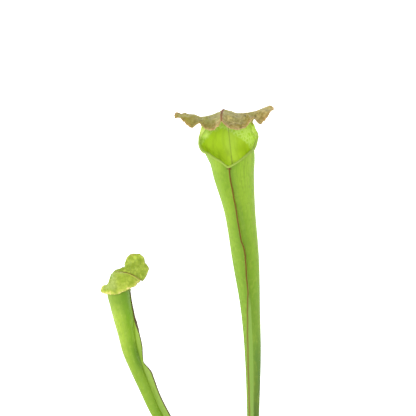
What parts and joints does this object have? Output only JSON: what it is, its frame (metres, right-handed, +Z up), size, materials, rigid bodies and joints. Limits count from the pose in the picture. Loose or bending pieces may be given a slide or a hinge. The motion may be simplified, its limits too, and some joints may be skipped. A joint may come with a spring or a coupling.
{
  "type": "pale pitcher plant",
  "caption": "Pale pitcher plant lifted from the ground and laid down: trumpet-shaped trap leaves with winged fronts and wavy hoods, growing from a short brown rhizome.",
  "frame": {"origin": "the flat spot under the rhizome, where the leaves grow from it, on the surface that the plant lies on", "axes": "+Y from the rhizome towards the leaves' tips, +Z up off the surface, +X to the right of the tall leaf seen from above"},
  "size_m": [0.1328, 0.3737, 0.048],
  "materials": {
    "pitcher_leaf": "satin green leaf, veined lengthwise, with a red-brown wing edge and a dried tan hood",
    "young_pitcher_leaf": "satin yellow-green leaf, veined lengthwise, with a crinkled hood",
    "rhizome_bark": "matt brown bark with pale cut faces"
  },
  "bodies": {
    "root": {"tall_pitcher": "pitcher_leaf", "short_pitcher": "young_pitcher_leaf", "rhizome": "rhizome_bark"}
  },
  "joints": []
}
